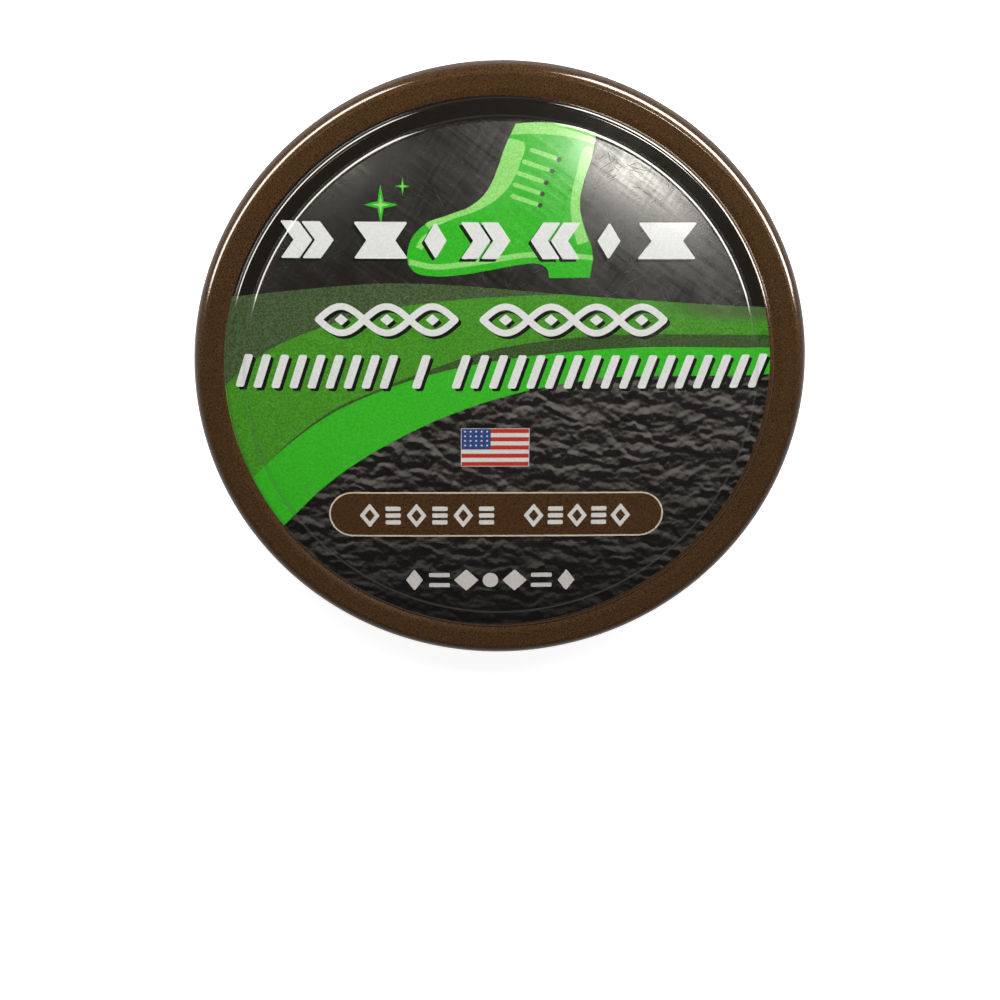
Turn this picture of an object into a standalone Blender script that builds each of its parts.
"""Shoe polish tin, closed, lying flat on its bottom panel.

A drawn tinplate lid slips over a drawn tinplate base pan that holds a cake of
polish. A stamped butterfly key, pivoting on a rivet through the side of the
pan, prises the lid up when it is twisted.

Metres, +Z up. The origin is the centre of the flat bottom panel, +Y is the
reading direction of the label, and the key sits at -Y.
"""

import math

import bpy
import bmesh

# ---------------------------------------------------------------- dimensions
RIM_Z = 0.0240               # bottom panel to the crown of the lid's rim
SHEET = 0.00035              # wall of both shells
STEPS = 64                   # facets round a turned piece

LID_R = 0.04480              # rim bead, outside
SKIRT_R = 0.04430            # lid skirt, outside (a 3 1/2 inch tin)
LID_EDGE_Z = 0.0175          # lower edge of the skirt
LID_CORNER_R = 0.0017        # outer top corner of the rim
BEAD_DROP = 0.00205          # the bead turns in to the skirt this far below its crown
NECK_R = 0.0012              # both bends where the bead meets the skirt
LID_HEM_R = 0.0006           # rolled edge of the skirt
RIM_RISE_R = 0.04095         # the rim is a low bead: its steep inner slope ends here
RIM_DIP = 0.000085           # how far its flat still climbs from there to the crown
GROOVE_Z = 0.02365           # foot of the second step, beside the bead
GROOVE_R = 0.040115
BAND_Z = 0.0241              # flat band between the two steps
BAND_OUT_R = 0.0398
BAND_IN_R = 0.03764
PANEL_Z = 0.0245             # edge of the centre panel, the highest level
PANEL_R = 0.0373
PANEL_DOME = 0.0006          # rise of the panel towards its centre
DOME_POWER = 5

BASE_R = 0.04290             # pan wall, outside
BASE_RIM_Z = 0.0232          # top of the pan's rolled edge
BASE_HEM_R = 0.00055
BASE_STEP_Z = 0.0010         # annulus round the bottom panel
BASE_STEP_OUT_R = 0.03930
BASE_FOOT_R = 0.03890        # flat bottom panel
BASE_CORNER_R = 0.0012

GAP = 0.0003                 # clearance between neighbouring pieces
POLISH_TOP_Z = 0.0172
MENISCUS = 0.0005            # how far the polish climbs the wall

KEY_Z = 0.0112               # height of the key's pivot
KEY_HALF_SPAN = 0.0068
KEY_WING_H = 0.0033          # half height of a wing
KEY_WAIST_H = 0.0021
KEY_SHEET = 0.0007
KEY_PLATE_Y = 0.04515        # middle of the flat part of the wings, from the tin's axis
KEY_BEND = 0.0019            # how far the wing tips curl outwards
KEY_HUB_R = 0.0023
CAM_INNER_Y = 0.04325        # face of the cam next to the wall
CAM_SHEET = 0.0007
CAM_REACH = 0.0059           # pivot to the end of the cam
CAM_END_R = 0.0012
BORE_R = 0.0014
SHANK_R = 0.0011
RIVET_HEAD_R = 0.0021
RIVET_HEAD_H = 0.0007
RIVET_FOOT_R = 0.0022
RIVET_FOOT_H = 0.0005


# ------------------------------------------------------------------- helpers
def clear_scene():
    for obj in list(bpy.data.objects):
        bpy.data.objects.remove(obj, do_unlink=True)
    for collection in list(bpy.data.collections):
        bpy.data.collections.remove(collection)


def new_collection(name, hidden=False):
    collection = bpy.data.collections.new(name)
    bpy.context.scene.collection.children.link(collection)
    collection.hide_render = hidden
    return collection


def move_to(obj, collection):
    for old in list(obj.users_collection):
        old.objects.unlink(obj)
    collection.objects.link(obj)


def material(name, colour, roughness, metallic):
    mat = bpy.data.materials.new(name)
    mat.use_nodes = True
    shader = mat.node_tree.nodes["Principled BSDF"]
    shader.inputs["Base Color"].default_value = (*colour, 1.0)
    shader.inputs["Roughness"].default_value = roughness
    shader.inputs["Metallic"].default_value = metallic
    mat.diffuse_color = (*colour, 1.0)
    return mat


def unit(a, b):
    length = math.hypot(b[0] - a[0], b[1] - a[1])
    return (b[0] - a[0]) / length, (b[1] - a[1]) / length


def filleted(corners, most_turn=math.radians(40)):
    """Points along a path of (r, z, fillet radius) corners, each corner rounded by an arc."""
    points = [corners[0][:2]]
    for before, corner, after in zip(corners, corners[1:], corners[2:]):
        radius = corner[2]
        d0, d1 = unit(before, corner), unit(corner, after)
        turn = math.atan2(d0[0] * d1[1] - d0[1] * d1[0], d0[0] * d1[0] + d0[1] * d1[1])
        if radius <= 0 or abs(turn) < 1e-4:
            points.append(corner[:2])
            continue
        reach = radius * math.tan(abs(turn) / 2)
        start = (corner[0] - d0[0] * reach, corner[1] - d0[1] * reach)
        side = math.copysign(1, turn)
        centre = (start[0] - d0[1] * side * radius, start[1] + d0[0] * side * radius)
        steps = max(1, math.ceil(abs(turn) / most_turn))
        for i in range(steps + 1):
            a = turn * i / steps
            x, z = start[0] - centre[0], start[1] - centre[1]
            points.append(
                (
                    centre[0] + x * math.cos(a) - z * math.sin(a),
                    centre[1] + x * math.sin(a) + z * math.cos(a),
                )
            )
    points.append(corners[-1][:2])
    return points


def offset(corners, distance):
    """The same path moved to its right by distance, with each fillet kept concentric."""
    moved = []
    for i, corner in enumerate(corners):
        d0 = unit(corners[i - 1], corner) if i else unit(corner, corners[1])
        d1 = unit(corner, corners[i + 1]) if i + 1 < len(corners) else d0
        n0, n1 = (d0[1], -d0[0]), (d1[1], -d1[0])
        scale = distance / (1 + n0[0] * n1[0] + n0[1] * n1[1])
        turn = d0[0] * d1[1] - d0[1] * d1[0]
        radius = corner[2]
        if radius > 0:
            radius = max(radius + math.copysign(distance, turn), 0.00005)
        moved.append(
            (corner[0] + scale * (n0[0] + n1[0]), corner[1] + scale * (n0[1] + n1[1]), radius)
        )
    return moved


def arc(centre, radius, start, end, steps):
    return [
        (
            centre[0] + radius * math.cos(start + (end - start) * i / steps),
            centre[1] + radius * math.sin(start + (end - start) * i / steps),
        )
        for i in range(steps + 1)
    ]


def turned(name, profile, collection, mat, steps=STEPS):
    """A solid of revolution about Z from an (r, z) profile that starts and ends on the axis."""
    mesh = bpy.data.meshes.new(name)
    points = [(max(r, 0.0), 0.0, z) for r, z in profile]
    mesh.from_pydata(points, [(i, i + 1) for i in range(len(points) - 1)], [])
    obj = bpy.data.objects.new(name, mesh)
    collection.objects.link(obj)
    screw = obj.modifiers.new("Turn", "SCREW")
    screw.axis = "Z"
    screw.angle = 2 * math.pi
    screw.steps = steps
    screw.render_steps = steps
    screw.use_merge_vertices = True
    screw.merge_threshold = 0.00001
    screw.use_smooth_shade = True
    mesh.materials.append(mat)
    return obj


def cylinder(name, radius, y_from, y_to, z, collection, segments=24):
    """A plain cylinder along Y, between two distances from the tin's axis on the -Y side."""
    bpy.ops.mesh.primitive_cylinder_add(
        vertices=segments,
        radius=radius,
        depth=abs(y_to - y_from),
        location=(0.0, -(y_from + y_to) / 2, z),
        rotation=(math.pi / 2, 0.0, 0.0),
    )
    obj = bpy.context.object
    obj.name = name
    move_to(obj, collection)
    obj.hide_render = True
    obj.display_type = "WIRE"
    return obj


def boolean(obj, other, operation):
    modifier = obj.modifiers.new(other.name, "BOOLEAN")
    modifier.operation = operation
    modifier.solver = "EXACT"
    modifier.object = other
    return modifier


# -------------------------------------------------------------------- pieces
def dome(r):
    """Rise of the centre panel above its edge."""
    if r >= PANEL_R:
        return 0.0
    return PANEL_DOME * (1 - (r / PANEL_R) ** DOME_POWER)


def panel_radii(points, count=5):
    """The flat panel's single run split into rings, so that it can take the dome."""
    edge = points[1]
    rings = [(edge[0] * i / count, points[0][1]) for i in range(count)]
    return rings + points[1:]


def lid_section():
    outer = [
        (0.0, PANEL_Z, 0.0),
        (PANEL_R, PANEL_Z, 0.00085),
        (BAND_IN_R, BAND_Z, 0.0002),
        (BAND_OUT_R, BAND_Z, 0.0006),
        (GROOVE_R, GROOVE_Z, 0.00012),
        (RIM_RISE_R, RIM_Z - RIM_DIP, 0.0050),
        (LID_R, RIM_Z, LID_CORNER_R),
        (LID_R, RIM_Z - BEAD_DROP, NECK_R),
        (SKIRT_R, RIM_Z - BEAD_DROP - (LID_R - SKIRT_R) * math.sqrt(3), NECK_R),
        (SKIRT_R, LID_EDGE_Z + LID_HEM_R, 0.0),
    ]
    inner = offset(outer, SHEET)
    hem = (SKIRT_R - LID_HEM_R, LID_EDGE_Z + LID_HEM_R)
    meet = math.acos((SKIRT_R - SHEET - hem[0]) / LID_HEM_R)
    roll = arc(hem, LID_HEM_R, 0.0, meet - 2 * math.pi, 8)
    inner[-1] = (SKIRT_R - SHEET, roll[-1][1], 0.0)
    top = panel_radii(filleted(outer))
    under = panel_radii(filleted(inner, math.radians(65)), 4)
    section = top[:-1] + roll[:-1] + under[::-1]
    return [(r, z + dome(r)) for r, z in section]


def base_section():
    outer = [
        (BASE_R, BASE_RIM_Z - BASE_HEM_R, 0.0),
        (BASE_R, BASE_STEP_Z, BASE_CORNER_R),
        (BASE_STEP_OUT_R, BASE_STEP_Z, 0.0004),
        (BASE_FOOT_R, 0.0, 0.0004),
        (0.0, 0.0, 0.0),
    ]
    inner = offset(outer, SHEET)
    hem = (BASE_R - BASE_HEM_R, BASE_RIM_Z - BASE_HEM_R)
    meet = math.acos((BASE_R - SHEET - hem[0]) / BASE_HEM_R)
    roll = arc(hem, BASE_HEM_R, -meet, -2 * math.pi, 8)
    inner[0] = (BASE_R - SHEET, roll[0][1], 0.0)
    floor = filleted(inner, math.radians(65))[::-1]
    wall = filleted(outer)
    return floor[:-1] + roll[:-1] + wall


def polish_section():
    side = BASE_R - SHEET - GAP
    floor = SHEET + GAP
    return filleted(
        [
            (0.0, POLISH_TOP_Z, 0.0),
            (side - 0.0015, POLISH_TOP_Z, 0.002),
            (side, POLISH_TOP_Z + MENISCUS, 0.0),
            (side, BASE_STEP_Z + floor, 0.0012),
            (BASE_FOOT_R - 0.0004, BASE_STEP_Z + floor, 0.0),
            (BASE_FOOT_R - 0.0010, floor, 0.0),
            (0.0, floor, 0.0),
        ]
    )


def rivet_section():
    """Local Z runs outwards, from the foot inside the pan to the head outside the key."""
    foot_z = BASE_R - SHEET - GAP - RIVET_FOOT_H
    shank_z = BASE_R - SHEET - GAP
    head_z = KEY_PLATE_Y + KEY_SHEET / 2 + GAP
    dome_head = [
        (RIVET_HEAD_R * math.sin(a), head_z + RIVET_HEAD_H * (0.35 + 0.65 * math.cos(a)))
        for a in (math.radians(90) * i / 4 for i in range(5))
    ]
    return dome_head + [
        (RIVET_HEAD_R, head_z),
        (SHANK_R, head_z),
        (SHANK_R, shank_z),
        (RIVET_FOOT_R, shank_z),
        (RIVET_FOOT_R, foot_z),
        (0.0, foot_z),
    ]


def wing_half_height(u):
    """Half height of the butterfly at u, from 0 at the pivot to 1 at a wing tip."""
    grow = min(max((u - 0.22) / 0.42, 0.0), 1.0)
    grow = grow * grow * (3 - 2 * grow)
    height = KEY_WAIST_H + (KEY_WING_H - KEY_WAIST_H) * grow
    tip = max((u - 0.55) / 0.45, 0.0)
    return height * math.sqrt(1 - 0.80 * tip**2.6)


def wing_bend(u):
    run = max((u - 0.36) / 0.64, 0.0)
    return KEY_BEND * run**1.6


def opener_key(collection, cutters, mat):
    bpy.ops.mesh.primitive_grid_add(x_subdivisions=22, y_subdivisions=6, size=2.0)
    key = bpy.context.object
    key.name = "opener_key"
    move_to(key, collection)
    for vertex in key.data.vertices:
        u, v = vertex.co.x, vertex.co.y
        vertex.co = (
            KEY_HALF_SPAN * u,
            -KEY_PLATE_Y - wing_bend(abs(u)),
            v * wing_half_height(abs(u)),
        )
    solid = key.modifiers.new("Sheet", "SOLIDIFY")
    solid.thickness = KEY_SHEET
    solid.offset = 0.0
    solid.use_even_offset = True

    bm = bmesh.new()
    ends = [(-(CAM_REACH - CAM_END_R), CAM_END_R), (CAM_REACH - CAM_END_R, CAM_END_R)]
    for x, radius in ends:
        for i in range(20):
            a = 2 * math.pi * i / 20
            for y in (-CAM_INNER_Y, -CAM_INNER_Y - CAM_SHEET):
                bm.verts.new((x + radius * math.cos(a), y, radius * math.sin(a)))
    bmesh.ops.convex_hull(bm, input=bm.verts)
    mesh = bpy.data.meshes.new("cam_bar")
    bm.to_mesh(mesh)
    bm.free()
    cam = bpy.data.objects.new("cam_bar", mesh)
    cutters.objects.link(cam)
    cam.hide_render = True
    cam.display_type = "WIRE"

    hub = cylinder("key_hub", KEY_HUB_R, CAM_INNER_Y, KEY_PLATE_Y, 0.0, cutters)
    bore = cylinder("key_bore", BORE_R, CAM_INNER_Y - 0.002, KEY_PLATE_Y + 0.002, 0.0, cutters)
    boolean(key, hub, "UNION")
    boolean(key, cam, "UNION")
    boolean(key, bore, "DIFFERENCE")
    key.data.materials.append(mat)

    pivot = bpy.data.objects.new("key_pivot", None)
    pivot.empty_display_size = 0.005
    pivot.location = (0.0, 0.0, KEY_Z)
    collection.objects.link(pivot)
    for obj in (key, cam, hub, bore):
        obj.parent = pivot
    return key


# ------------------------------------------------------------------ assembly
def main():
    clear_scene()
    parts = new_collection("shoe_polish_tin")
    cutters = new_collection("cutters", hidden=True)

    lid = turned(
        "lid",
        lid_section(),
        parts,
        material("printed_tinplate", (0.085, 0.045, 0.018), 0.35, 0.0),
    )
    base = turned(
        "base_pan",
        base_section(),
        parts,
        material("bare_tinplate", (0.60, 0.60, 0.58), 0.32, 1.0),
    )
    polish = turned(
        "polish_cake",
        polish_section(),
        parts,
        material("brown_wax", (0.045, 0.018, 0.008), 0.28, 0.0),
    )
    steel = material("key_steel", (0.55, 0.55, 0.54), 0.30, 1.0)
    rivet = turned("key_rivet", rivet_section(), parts, steel, steps=24)
    rivet.location = (0.0, 0.0, KEY_Z)
    rivet.rotation_euler = (math.pi / 2, 0.0, 0.0)
    key = opener_key(parts, cutters, steel)

    wall_hole = cylinder("rivet_hole", BORE_R, BASE_R - 0.0020, BASE_R + 0.0020, KEY_Z, cutters)
    boolean(base, wall_hole, "DIFFERENCE")
    foot_y = BASE_R - SHEET - GAP - RIVET_FOOT_H
    pocket = cylinder(
        "rivet_pocket", RIVET_FOOT_R + GAP, foot_y - GAP, BASE_R + 0.0020, KEY_Z, cutters
    )
    boolean(polish, pocket, "DIFFERENCE")

    for obj in (lid, base, polish, rivet, key):
        obj.data.shade_smooth()
        obj.data.set_sharp_from_angle(angle=math.radians(35))


main()
